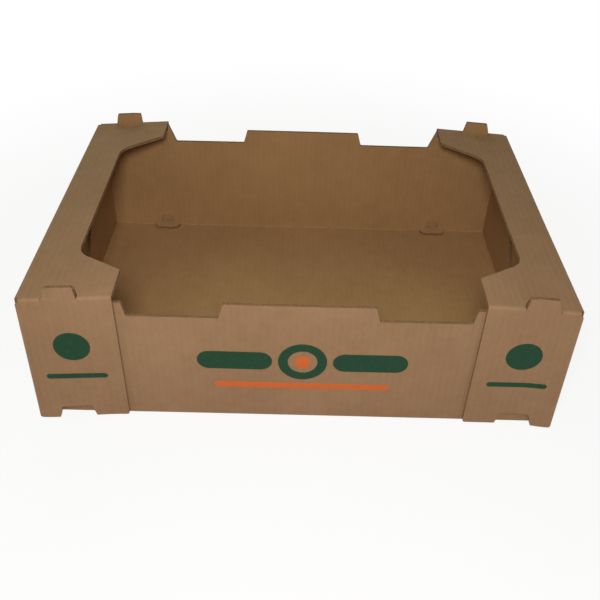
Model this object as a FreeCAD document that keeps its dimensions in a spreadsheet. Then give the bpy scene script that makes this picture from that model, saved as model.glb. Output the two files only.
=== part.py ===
import FreeCAD, Part
import math
import os
import re

import Sketcher

# Cardboard tray box for produce, folded and glued from one sheet of corrugated board.
# Millimetres, +Z up. The origin is the centre of the underside, the long side runs along X,
# and the front looks towards -Y. The tray is the same on both sides of X = 0 and of Y = 0,
# so the front left quarter is modelled and then mirrored twice.

NODE = "folded_tray"
TOUCH = 0.01

DRIVING_SIZES = [
    ("tray_length", 600.0, "outside length along X"),
    ("tray_width", 400.0, "outside width along Y, over the corner flaps"),
    ("board", 4.0, "thickness of the corrugated board"),
    ("end_height", 174.0, "height of the fold at the top of an end wall"),
    ("ear_rise", 7.6, "climb of the shelf from that fold to the tip of its ear"),
    ("ear_reach", 103.5, "shelf ear and corner flap, measured in from the end"),
    ("ear_depth", 46.5, "shelf ear, measured in from the front"),
    ("ear_radius", 4.0, "rounding at the tip of the ear"),
    ("shelf_reach", 50.0, "narrow part of the shelf, measured in from the end"),
    ("brace_depth", 80.0, "place where the slanted brace meets the narrow part, from the front"),
    ("brace_radius", 24.0, "rounding between the brace and the narrow part"),
    ("crown_drop", 2.5, "raised middle of a long wall, below the end fold"),
    ("sag_drop", 22.0, "low edges of a long wall, below the end fold"),
    ("crown_base", 173.0, "length of the raised middle at its foot"),
    ("crown_slant", 5.3, "how far each side of the raised middle leans in"),
    ("sag_margin", 7.5, "taller end of a long wall that shows beside a corner flap"),
    ("sag_slant", 3.5, "how far that end leans out from the low edge"),
    ("edge_radius", 4.0, "rounding at the corners of the top edge of a long wall"),
    ("fold_radius", 3.2, "outside radius of the fold above a corner flap"),
    ("flap_inset", 1.0, "outer edge of a corner flap, inside the face of the end wall"),
    ("flap_lift", 1.5, "lower edge of a corner flap above the underside"),
    ("flap_radius", 3.0, "rounding at the lower corners of a corner flap"),
    ("flare", 8.0, "how far the unglued foot of a corner flap stands out at its outer edge"),
    ("flare_start", 70.0, "where the flap starts to stand out, measured in from the end"),
    ("flare_drop", 24.0, "where the flap starts to stand out, below the end fold"),
    ("tab_place", 45.0, "middle of a stacking tab, measured in from the end"),
    ("tab_base", 38.0, "width of a stacking tab at its foot"),
    ("tab_top", 31.0, "width of a stacking tab at its top"),
    ("tab_height", 14.5, "height of a stacking tab above the shelf"),
    ("tab_radius", 2.0, "rounding at the top corners of a stacking tab"),
    ("stack_clearance", 2.0, "room around a tab, in its notch and in the cut it comes from"),
    ("hand_length", 90.0, "length of a hand hole"),
    ("hand_height", 34.0, "height of a hand hole"),
    ("hand_level", 114.0, "middle of a hand hole above the underside"),
    ("hand_radius", 16.0, "rounding at the ends of a hand hole"),
    ("glue_apart", 20.0, "distance between the two glue flaps of an end wall, at their feet"),
    ("glue_clear", 62.0, "top of a glue flap, measured from the end of the hand hole"),
    ("glue_gap", 2.0, "room above and below that flap"),
    ("glue_radius", 6.0, "rounding at its free corners"),
    ("tongue_place", 13.0, "middle of the locking tongue, from the inner edge of its flap"),
    ("tongue_root", 33.0, "width of the locking tongue in the wall"),
    ("tongue_head", 41.0, "greatest width of the locking tongue"),
    ("tongue_tip", 29.0, "width of the locking tongue at its end"),
    ("tongue_reach", 13.0, "reach of the locking tongue on the floor"),
    ("tongue_shoulder", 4.0, "distance from the wall to its widest place"),
    ("tongue_radius", 3.0, "rounding at the tip of the tongue"),
    ("window_width", 19.0, "width of the small window in the wall above the tongue"),
    ("window_height", 12.0, "height of that window"),
    ("window_radius", 5.0, "rounding at the top of that window"),
]
ALIASES = {alias for alias, _value, _meaning in DRIVING_SIZES}


def make_sizes(doc):
    """Write the driving dimensions into a spreadsheet, one named cell each."""
    sheet = doc.addObject("Spreadsheet::Sheet", "Sizes")
    for row, (alias, value, meaning) in enumerate(DRIVING_SIZES, start=1):
        sheet.set(f"A{row}", meaning)
        sheet.set(f"B{row}", str(value))
        sheet.setAlias(f"B{row}", alias)
    doc.recompute()
    return sheet


def on_sheet(text):
    """Point each size named in an expression at its cell."""
    return re.sub(r"[a-z_]+", lambda m: "Sizes." + m[0] if m[0] in ALIASES else m[0], text)


def value_of(owner, text):
    """Return the number that an expression has now."""
    return float(owner.evalExpression(on_sheet(text)))


def new_sketch(body, name, role, offset="0"):
    """Make a sketch parallel to one of the body's origin planes, offset along its normal."""
    plane = next(f for f in body.Origin.OriginFeatures if f.Role == role)
    sketch = body.newObject("Sketcher::SketchObject", name)
    sketch.AttachmentSupport = [(plane, "")]
    sketch.MapMode = "FlatFace"
    sketch.setExpression("AttachmentOffset.Base.z", on_sheet(offset))
    return sketch


def bind(sketch, constraint, expression):
    """Add a constraint whose value follows the sizes."""
    index = sketch.addConstraint(constraint)
    sketch.setExpression(f"Constraints[{index}]", on_sheet(expression))


def rounded_ends(before, corner, after, radius):
    """Return where a rounding leaves the two sides of a corner, and its centre."""
    inward = (before - corner).normalize()
    onward = (after - corner).normalize()
    half = inward.getAngle(onward) / 2
    run = radius / math.tan(half)
    middle = (inward + onward).normalize()
    return corner + inward * run, corner + onward * run, corner + middle * (radius / math.sin(half))


def add_arc(sketch, centre, radius, entry, leave):
    """Draw the rounding of a corner and return it with its first and last point number."""
    turn = (entry - centre).cross(leave - centre).z
    first, last = (entry, leave) if turn > 0 else (leave, entry)
    circle = Part.Circle(centre, FreeCAD.Vector(0, 0, 1), radius)
    arc = Part.ArcOfCircle(circle, circle.parameter(first), circle.parameter(last))
    index = sketch.addGeometry(arc, False)
    return (index, 1, 2) if turn > 0 else (index, 2, 1)


def draw_outline(sketch, corners):
    """Draw a closed outline whose corners are (x, y) or (x, y, radius), given as expressions."""
    spots = [FreeCAD.Vector(value_of(sketch, c[0]), value_of(sketch, c[1]), 0) for c in corners]
    count = len(corners)
    entries, leaves, arcs = list(spots), list(spots), {}
    for i, corner in enumerate(corners):
        if len(corner) == 3:
            radius = value_of(sketch, corner[2])
            entries[i], leaves[i], centre = rounded_ends(
                spots[i - 1], spots[i], spots[(i + 1) % count], radius)
            arcs[i] = add_arc(sketch, centre, radius, entries[i], leaves[i])
    sides = [
        sketch.addGeometry(Part.LineSegment(leaves[i], entries[(i + 1) % count]), False)
        for i in range(count)]
    for i, corner in enumerate(corners):
        before, after = sides[i - 1], sides[i]
        if i in arcs:
            arc, start, end = arcs[i]
            point = sketch.addGeometry(Part.Point(spots[i]), True)
            sketch.addConstraint(Sketcher.Constraint("Tangent", before, 2, arc, start))
            sketch.addConstraint(Sketcher.Constraint("Tangent", arc, end, after, 1))
            sketch.addConstraint(Sketcher.Constraint("PointOnObject", point, 1, before))
            sketch.addConstraint(Sketcher.Constraint("PointOnObject", point, 1, after))
            radius = value_of(sketch, corner[2])
            bind(sketch, Sketcher.Constraint("Radius", arc, radius), corner[2])
            held = point
        else:
            sketch.addConstraint(Sketcher.Constraint("Coincident", before, 2, after, 1))
            held = after
        bind(sketch, Sketcher.Constraint("DistanceX", held, 1, spots[i].x), corner[0])
        bind(sketch, Sketcher.Constraint("DistanceY", held, 1, spots[i].y), corner[1])


def extrude(body, kind, sketch, depth, backwards):
    """Pad or pocket a sketch by an expression's length and test that it changed the solid."""
    had = body.Shape.Volume if body.Tip else 0.0
    feature = body.newObject("PartDesign::" + kind, kind + sketch.Name)
    feature.Profile = sketch
    feature.setExpression("Length", on_sheet(depth))
    feature.Reversed = backwards
    body.Document.recompute()
    gain = body.Shape.Volume - had
    if (gain > 0) != (kind == "Pad") or abs(gain) < 1.0:
        raise ValueError(f"{feature.Name} changes the volume by {gain:.1f}")
    return feature


# Places that several features share, as expressions.
END = "-tray_length/2"
END_INNER = "-(tray_length/2 - board)"
FRONT = "-tray_width/2"
WALL_FACE = "-(tray_width/2 - board)"
WALL_INNER = "-(tray_width/2 - 2*board)"
EAR_TIP = "-(tray_length/2 - ear_reach)"
EAR_TOP = "(end_height + ear_rise)"
SIDE_END = "(end_height - board)"
SIDE_LOW = "(end_height - sag_drop)"
SIDE_CROWN = "(end_height - crown_drop)"
ABOVE_ALL = "(end_height + ear_rise + tab_height)"
NOTCH_TOP = "(flap_lift + tab_height + stack_clearance)"
FLARE_TOP = "(end_height - flare_drop)"


def in_from_end(distance):
    """Return the X of a place measured in from the left end."""
    return f"-(tray_length/2 - ({distance}))"


def fold_height(distance):
    """Return the height of the sloping fold at a distance in from the left end."""
    return f"(end_height + ear_rise*({distance})/ear_reach)"


def add_floor_and_long_wall(body):
    """Pad the folded section of the floor and the long wall, rounded at its crease."""
    sketch = new_sketch(body, "SideSection", "YZ_Plane")
    draw_outline(sketch, [
        ("0", "0"), ("0", "board"), (WALL_INNER, "board"), (WALL_INNER, SIDE_CROWN),
        (WALL_FACE, SIDE_CROWN), (WALL_FACE, "0", "board")])
    extrude(body, "Pad", sketch, "tray_length/2 - board", True)


def cut_long_wall_edge(body):
    """Cut the top edge of the long wall: a taller end, a low edge and the raised middle."""
    sag = "tray_length/2 - ear_reach - sag_margin"
    sketch = new_sketch(body, "SideEdge", "XZ_Plane", "tray_width/2")
    draw_outline(sketch, [
        (END, ABOVE_ALL),
        (END, SIDE_END),
        (f"-({sag})", SIDE_END, "edge_radius"),
        (f"-({sag} - sag_slant)", SIDE_LOW, "edge_radius"),
        ("-crown_base/2", SIDE_LOW, "edge_radius"),
        ("-(crown_base/2 - crown_slant)", SIDE_CROWN, "edge_radius"),
        ("-(crown_base/2 - crown_slant - 3*edge_radius)", SIDE_CROWN),
        ("-(crown_base/2 - crown_slant - 3*edge_radius)", ABOVE_ALL)])
    extrude(body, "Pocket", sketch, "3*board", False)


def cut_lock_window(body):
    """Cut the small window in the long wall, above the place of the locking tongue."""
    middle = in_from_end("ear_reach - tongue_place")
    sketch = new_sketch(body, "LockWindow", "XZ_Plane", "tray_width/2")
    draw_outline(sketch, [
        (f"{middle} - window_width/2", "2*board"),
        (f"{middle} + window_width/2", "2*board"),
        (f"{middle} + window_width/2", "2*board + window_height", "window_radius"),
        (f"{middle} - window_width/2", "2*board + window_height", "window_radius")])
    extrude(body, "Pocket", sketch, "3*board", False)


def add_end_wall_and_shelf(body):
    """Pad the folded section of the end wall and of the shelf that climbs inwards from it."""
    sketch = new_sketch(body, "EndSection", "XZ_Plane")
    draw_outline(sketch, [
        (in_from_end("2*board"), "0"),
        (END, "0", "board"),
        (END, "end_height"),
        (EAR_TIP, EAR_TOP),
        (EAR_TIP, f"{EAR_TOP} - board"),
        (END_INNER, f"{fold_height('board')} - board"),
        (END_INNER, "board"),
        (in_from_end("2*board"), "board")])
    extrude(body, "Pad", sketch, "tray_width/2 - board", False)


def cut_shelf_opening(body):
    """Cut the shelf back to its narrow part, with the slanted brace left at the corner."""
    sketch = new_sketch(body, "ShelfOpening", "XY_Plane", ABOVE_ALL)
    draw_outline(sketch, [
        (in_from_end("shelf_reach"), "0"),
        (in_from_end("shelf_reach"), "-(tray_width/2 - brace_depth)", "brace_radius"),
        (EAR_TIP, "-(tray_width/2 - ear_depth)", "ear_radius"),
        (EAR_TIP, f"{WALL_INNER} + board"),
        (in_from_end("ear_reach + board"), f"{WALL_INNER} + board"),
        (in_from_end("ear_reach + board"), "0")])
    extrude(body, "Pocket", sketch, "tab_height + ear_rise + 2*board", False)


def cut_hand_hole(body):
    """Cut the hand hole through the end wall."""
    sketch = new_sketch(body, "HandHole", "YZ_Plane", END)
    draw_outline(sketch, [
        ("0", "hand_level - hand_height/2"),
        ("-hand_length/2", "hand_level - hand_height/2", "hand_radius"),
        ("-hand_length/2", "hand_level + hand_height/2", "hand_radius"),
        ("0", "hand_level + hand_height/2")])
    extrude(body, "Pocket", sketch, "2*board", True)


def add_glue_flap(body):
    """Pad the flap of the long wall that is glued inside the end wall, clear of its hole."""
    foot = "board + glue_gap"
    head = f"{SIDE_END} - glue_gap"
    sketch = new_sketch(body, "GlueFlap", "YZ_Plane", END_INNER)
    draw_outline(sketch, [
        (WALL_FACE, foot),
        ("-glue_apart/2", foot, "glue_radius"),
        ("-(hand_length/2 + glue_clear)", head, "glue_radius"),
        (WALL_FACE, head)])
    extrude(body, "Pad", sketch, "board", False)


def add_corner_flap(body):
    """Pad the flat, glued part of the flap that hangs from the shelf outside the long wall."""
    sketch = new_sketch(body, "CornerFlap", "XZ_Plane", "tray_width/2 - board")
    draw_outline(sketch, [
        (in_from_end("flap_inset"), fold_height("flap_inset")),
        (in_from_end("flap_inset"), FLARE_TOP),
        (in_from_end("flare_start"), FLARE_TOP),
        (in_from_end("flare_start"), "flap_lift"),
        (EAR_TIP, "flap_lift", "flap_radius"),
        (EAR_TIP, EAR_TOP)])
    extrude(body, "Pad", sketch, "board", False)


def add_flared_foot(body):
    """Loft the unglued foot of the corner flap, which stands out more towards its corner."""
    outer = in_from_end("flap_inset")
    inner = in_from_end("flare_start")
    top = new_sketch(body, "FlareTop", "XY_Plane", FLARE_TOP)
    draw_outline(top, [(outer, WALL_FACE), (inner, WALL_FACE), (inner, FRONT), (outer, FRONT)])
    foot = new_sketch(body, "FlareFoot", "XY_Plane", "flap_lift")
    draw_outline(foot, [
        (outer, f"{WALL_FACE} - flare"), (inner, WALL_FACE),
        (inner, FRONT), (outer, f"{FRONT} - flare")])
    had = body.Shape.Volume
    loft = body.newObject("PartDesign::AdditiveLoft", "FlaredFoot")
    loft.Profile = top
    loft.Sections = [foot]
    loft.Ruled = True
    body.Document.recompute()
    if body.Shape.Volume <= had:
        raise ValueError("the flared foot adds nothing")


def cut_flap_foot(body):
    """Cut the stacking notch and the outer corner into the foot of the corner flap."""
    foot_gap = "stack_clearance"
    top_gap = "stack_clearance/2"
    beyond = in_from_end("-board")
    sketch = new_sketch(body, "FlapFoot", "XZ_Plane", "tray_width/2 + flare + board")
    draw_outline(sketch, [
        (beyond, "flap_lift - board"),
        (beyond, "flap_lift + 2*flap_radius"),
        (in_from_end("flap_inset"), "flap_lift + 2*flap_radius"),
        (in_from_end("flap_inset"), "flap_lift", "flap_radius"),
        (in_from_end(f"tab_place - tab_base/2 - {foot_gap}"), "flap_lift"),
        (in_from_end(f"tab_place - tab_top/2 - {top_gap}"), NOTCH_TOP),
        (in_from_end(f"tab_place + tab_top/2 + {top_gap}"), NOTCH_TOP),
        (in_from_end(f"tab_place + tab_base/2 + {foot_gap}"), "flap_lift"),
        (in_from_end(f"tab_place + tab_base/2 + {foot_gap}"), "flap_lift - board")])
    extrude(body, "Pocket", sketch, "flare + 2*board", False)


def add_stacking_tab(body):
    """Pad the tab that stands up in the plane of the corner flap."""
    left = "tab_place - tab_base/2"
    right = "tab_place + tab_base/2"
    left_top = "tab_place - tab_top/2"
    right_top = "tab_place + tab_top/2"
    sketch = new_sketch(body, "StackingTab", "XZ_Plane", "tray_width/2 - board")
    draw_outline(sketch, [
        (in_from_end(left), fold_height(left)),
        (in_from_end(left_top), f"{fold_height(left_top)} + tab_height", "tab_radius"),
        (in_from_end(right_top), f"{fold_height(right_top)} + tab_height", "tab_radius"),
        (in_from_end(right), fold_height(right))])
    extrude(body, "Pad", sketch, "board", False)


def round_flap_fold(body):
    """Round the sloping fold of the corner flap, on both sides of the tab."""
    end = value_of(body, END)
    front = value_of(body, FRONT)
    start = value_of(body, "end_height")
    slope = value_of(body, "ear_rise/ear_reach")

    def on_fold(vertex):
        along_fold = start + slope * (vertex.X - end)
        return abs(vertex.Y - front) < TOUCH and abs(vertex.Z - along_fold) < TOUCH

    base = body.Tip
    edges = enumerate(base.Shape.Edges, start=1)
    names = [f"Edge{number}" for number, edge in edges if all(map(on_fold, edge.Vertexes))]
    fillet = body.newObject("PartDesign::Fillet", "FlapFold")
    fillet.Base = (base, names)
    fillet.setExpression("Radius", on_sheet("fold_radius"))
    body.Document.recompute()


def cut_tab_slot(body):
    """Cut the opening that the tab leaves in the shelf."""
    sketch = new_sketch(body, "TabSlot", "XY_Plane", ABOVE_ALL)
    draw_outline(sketch, [
        (in_from_end("tab_place - tab_base/2 - stack_clearance/2"), WALL_FACE),
        (in_from_end("tab_place - tab_top/2 - stack_clearance/2"), f"{WALL_FACE} + tab_height"),
        (in_from_end("tab_place + tab_top/2 + stack_clearance/2"), f"{WALL_FACE} + tab_height"),
        (in_from_end("tab_place + tab_base/2 + stack_clearance/2"), WALL_FACE)])
    extrude(body, "Pocket", sketch, "tab_height + ear_rise + board", False)


def round_end_fold(body):
    """Round the fold between the end wall and the shelf, over the corner flap too."""
    sketch = new_sketch(body, "EndFold", "XZ_Plane", "tray_width/2")
    draw_outline(sketch, [
        (END, "end_height - 2*board"),
        (END, "end_height", "board"),
        (in_from_end("2*board"), fold_height("2*board")),
        (in_from_end("2*board"), ABOVE_ALL),
        (in_from_end("-board"), ABOVE_ALL),
        (in_from_end("-board"), "end_height - 2*board")])
    extrude(body, "Pocket", sketch, "tray_width/2", False)


def add_locking_tongue(body):
    """Pad the tongue that comes out of the foot of the long wall and lies on the floor."""
    middle = in_from_end("ear_reach - tongue_place")
    root = f"{WALL_INNER} - board/2"
    wide = f"{WALL_INNER} + tongue_shoulder"
    tip = f"{WALL_INNER} + tongue_reach"
    sketch = new_sketch(body, "LockingTongue", "XY_Plane", "board")
    draw_outline(sketch, [
        (f"{middle} - tongue_root/2", root),
        (f"{middle} - tongue_root/2", WALL_INNER),
        (f"{middle} - tongue_head/2", wide),
        (f"{middle} - tongue_tip/2", tip, "tongue_radius"),
        (f"{middle} + tongue_tip/2", tip, "tongue_radius"),
        (f"{middle} + tongue_head/2", wide),
        (f"{middle} + tongue_root/2", WALL_INNER),
        (f"{middle} + tongue_root/2", root)])
    extrude(body, "Pad", sketch, "board", False)


def mirror_all(body, name, role):
    """Mirror everything made so far in one of the origin planes."""
    plane = next(f for f in body.Origin.OriginFeatures if f.Role == role)
    mirrored = body.newObject("PartDesign::Mirrored", name)
    mirrored.TransformMode = "Whole shape"
    mirrored.MirrorPlane = (plane, [""])
    body.Tip = mirrored
    body.Document.recompute()


def make_tray(doc):
    """Build the folded tray as one body."""
    body = doc.addObject("PartDesign::Body", "FoldedTray")
    body.Label = NODE
    body.Placement = FreeCAD.Placement()
    add_floor_and_long_wall(body)
    cut_long_wall_edge(body)
    cut_lock_window(body)
    add_end_wall_and_shelf(body)
    cut_shelf_opening(body)
    cut_hand_hole(body)
    add_glue_flap(body)
    add_corner_flap(body)
    add_flared_foot(body)
    cut_flap_foot(body)
    add_stacking_tab(body)
    cut_tab_slot(body)
    round_flap_fold(body)
    round_end_fold(body)
    add_locking_tongue(body)
    mirror_all(body, "OtherEnd", "YZ_Plane")
    mirror_all(body, "OtherSide", "XZ_Plane")
    return body


def check(doc, body):
    """Stop if any object failed or the tray is not one valid solid."""
    for item in doc.Objects:
        if "Invalid" in item.State or "Error" in item.State:
            raise ValueError(f"{item.Name} failed: {item.State}")
    shape = body.Shape
    if shape.isNull() or not shape.isValid() or len(shape.Solids) != 1:
        raise ValueError("the tray is not one valid solid")


def main():
    """Make the document, build the tray and write its file."""
    doc = FreeCAD.newDocument("TrayBox")
    make_sizes(doc)
    tray = make_tray(doc)
    doc.recompute()
    check(doc, tray)
    os.makedirs("parts", exist_ok=True)
    tray.Shape.exportStep(f"parts/{tray.Label}.step")
    box = tray.Shape.BoundBox
    print(f"{tray.Label}: {box.XLength:.1f} x {box.YLength:.1f} x {box.ZLength:.1f} mm,"
          f" {tray.Shape.Volume / 1000:.1f} cm3, {len(tray.Shape.Faces)} faces")


main()
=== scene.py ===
"""A cardboard tray box: one sheet of corrugated board, cut, folded and printed.

The sheet is built panel by panel in metres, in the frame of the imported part. Each panel is a flat
outline with an outer and an inner liner, cut edges that show the fluted medium, and rounded folds
that join it to its neighbours.
"""

from __future__ import annotations

import logging
import math
from collections.abc import Callable, Iterable, Sequence
from dataclasses import dataclass, field
from enum import Enum

import bmesh
import bpy
import numpy as np
from mathutils import Euler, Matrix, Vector, noise
from mathutils.geometry import delaunay_2d_cdt


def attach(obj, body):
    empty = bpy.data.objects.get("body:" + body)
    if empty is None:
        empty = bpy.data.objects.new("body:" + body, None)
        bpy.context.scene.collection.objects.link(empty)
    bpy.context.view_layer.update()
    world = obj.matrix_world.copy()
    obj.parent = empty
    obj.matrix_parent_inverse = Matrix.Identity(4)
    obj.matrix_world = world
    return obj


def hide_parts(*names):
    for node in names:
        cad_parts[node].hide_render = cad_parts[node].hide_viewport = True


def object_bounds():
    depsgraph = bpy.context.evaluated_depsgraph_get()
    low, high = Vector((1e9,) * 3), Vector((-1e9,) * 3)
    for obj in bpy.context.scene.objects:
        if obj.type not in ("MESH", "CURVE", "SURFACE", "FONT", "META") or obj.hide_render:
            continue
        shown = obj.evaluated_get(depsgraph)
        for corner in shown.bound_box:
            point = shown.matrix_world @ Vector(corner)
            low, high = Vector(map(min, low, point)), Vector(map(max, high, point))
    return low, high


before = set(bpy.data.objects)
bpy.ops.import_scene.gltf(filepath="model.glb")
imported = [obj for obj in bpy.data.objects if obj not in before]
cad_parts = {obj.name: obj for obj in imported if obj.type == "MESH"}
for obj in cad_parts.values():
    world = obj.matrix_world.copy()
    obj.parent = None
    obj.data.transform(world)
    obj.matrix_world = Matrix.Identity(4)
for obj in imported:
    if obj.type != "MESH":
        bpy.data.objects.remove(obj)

LOG = logging.getLogger("tray")
CAD_LOW, CAD_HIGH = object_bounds()
EDGE_ROWS = 10
Points = np.ndarray
Relief = Callable[[Points, Points], Points]


def smooth(values: Points) -> Points:
    """Return values cut to 0 to 1 and eased at both ends."""
    share = np.clip(values, 0.0, 1.0)
    return share * share * (3.0 - 2.0 * share)


def level(across: Points, along: Points) -> Points:
    """Return the relief of a panel that lies flat."""
    return np.zeros_like(across)


class Skin(Enum):
    """The surfaces of the board, each with a finish of its own."""

    OUTER = 0
    INNER = 1
    CORE = 2


@dataclass(frozen=True)
class Board:
    """Corrugated board: two liners with a fluted medium between them."""

    thickness: float = 0.004
    liner: float = 0.0005
    medium: float = 0.0004
    pitch: float = 0.0079
    recess: float = 0.0005
    medium_recess: float = 0.00012
    play: float = 0.00005

    def medium_level(self, across: float) -> float:
        """Return the height of the fluted medium below the outer face.

        Args:
            across: Place measured across the flutes.

        Returns:
            The height, which is negative.
        """
        swing = self.thickness / 2 - self.liner - self.medium / 2 - self.play
        return -self.thickness / 2 + swing * math.sin(2 * math.pi * across / self.pitch)

    def edge_profile(self, across: float) -> list[tuple[float, float]]:
        """Return the section of a cut edge as pairs of height and depth.

        Args:
            across: Place of the section measured across the flutes.

        Returns:
            EDGE_ROWS pairs from the outer face to the inner one.
        """
        middle, half = self.medium_level(across), self.medium / 2
        low = self.liner - self.thickness
        return [
            (0.0, 0.0), (-self.liner, 0.0), (-self.liner, self.recess),
            (middle + half, self.recess), (middle + half, self.medium_recess),
            (middle - half, self.medium_recess), (middle - half, self.recess),
            (low, self.recess), (low, 0.0), (-self.thickness, 0.0),
        ]


@dataclass(frozen=True)
class Corner:
    """A corner of a panel, its rounding, and the fold that its next side is."""

    across: float
    along: float
    radius: float = 0.0
    fold: str = ""


def opening(middle: float, half: float, low: float, high: float, foot: float,
            head: float) -> list[Corner]:
    """Return the corners of an upright opening, with one radius below and one above."""
    return [Corner(middle - half, low, foot), Corner(middle + half, low, foot),
            Corner(middle + half, high, head), Corner(middle - half, high, head)]


def put(name: str, data: bpy.types.ID) -> bpy.types.Object:
    """Add an object to the scene under a name."""
    made = bpy.data.objects.new(name, data)
    bpy.context.scene.collection.objects.link(made)
    return made


class SheetMesh:
    """Collects the surfaces of the folded sheet and joins them into one mesh."""

    WELD = 2e-5
    SHARP = math.radians(38.0)

    def __init__(self) -> None:
        """Start with an empty sheet."""
        self.points: list[tuple[float, float, float]] = []
        self.flat: list[tuple[float, float]] = []
        self.crease_wear_and_highlight: list[float] = []
        self.faces: list[tuple[int, ...]] = []
        self.skins: list[int] = []

    def add(self, points: Points, flat: Points, crease_wear_and_highlight: Points, faces: Iterable[tuple[int, ...]],
            skin: Skin, flip: bool) -> None:
        """Add a surface.

        Args:
            points: Its vertices.
            flat: Their places on the flat sheet, across and along the flutes.
            crease_wear_and_highlight: How creased the liner is at each, from 0 to 1. The liner is
                lightened there, partly as crease wear and partly as a painted highlight on the
                bend.
            faces: Vertex numbers of its faces.
            skin: Which surface of the board it is.
            flip: Whether the faces are turned over.
        """
        first = len(self.points)
        self.points.extend(map(tuple, points))
        self.flat.extend(map(tuple, flat))
        self.crease_wear_and_highlight.extend(crease_wear_and_highlight)
        for face in faces:
            order = reversed(face) if flip else face
            self.faces.append(tuple(first + i for i in order))
            self.skins.append(skin.value)

    def build(self, name: str) -> bpy.types.Object:
        """Join what was added into one object.

        Args:
            name: Name of the object.

        Returns:
            The object, which rides on nothing yet.
        """
        mesh = bpy.data.meshes.new(name)
        mesh.from_pydata(self.points, [], self.faces)
        mesh.polygons.foreach_set("material_index", self.skins)
        chart = mesh.uv_layers.new(name="flat_sheet")
        corners = np.empty(len(mesh.loops), dtype=np.int32)
        mesh.loops.foreach_get("vertex_index", corners)
        chart.data.foreach_set("uv", np.array(self.flat)[corners].ravel())
        # Share of each vertex in the fold lightening: partly crease wear, partly a painted
        # highlight on the bend.
        crease_wear_and_highlight_layer = mesh.attributes.new("crease_wear_and_highlight", "FLOAT", "POINT")
        crease_wear_and_highlight_layer.data.foreach_set("value", self.crease_wear_and_highlight)
        work = bmesh.new()
        work.from_mesh(mesh)
        bmesh.ops.remove_doubles(work, verts=work.verts, dist=self.WELD)
        bmesh.ops.dissolve_degenerate(work, edges=work.edges, dist=self.WELD / 4)
        for face in work.faces:
            face.smooth = True
        for edge in work.edges:
            if edge.is_manifold:
                edge.smooth = edge.calc_face_angle(0.0) < self.SHARP
        work.to_mesh(mesh)
        work.free()
        return put(name, mesh)


@dataclass
class FoldSide:
    """The stations of a panel along one of its folds."""

    outer: Points
    inner: Points
    leaving: Points
    normal: Points
    flat: Points
    flat_leaving: Points

    def turned(self) -> FoldSide:
        """Return the same side from its other end."""
        return FoldSide(self.outer[::-1], self.inner[::-1], self.leaving, self.normal,
                        self.flat[::-1], self.flat_leaving)


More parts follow.
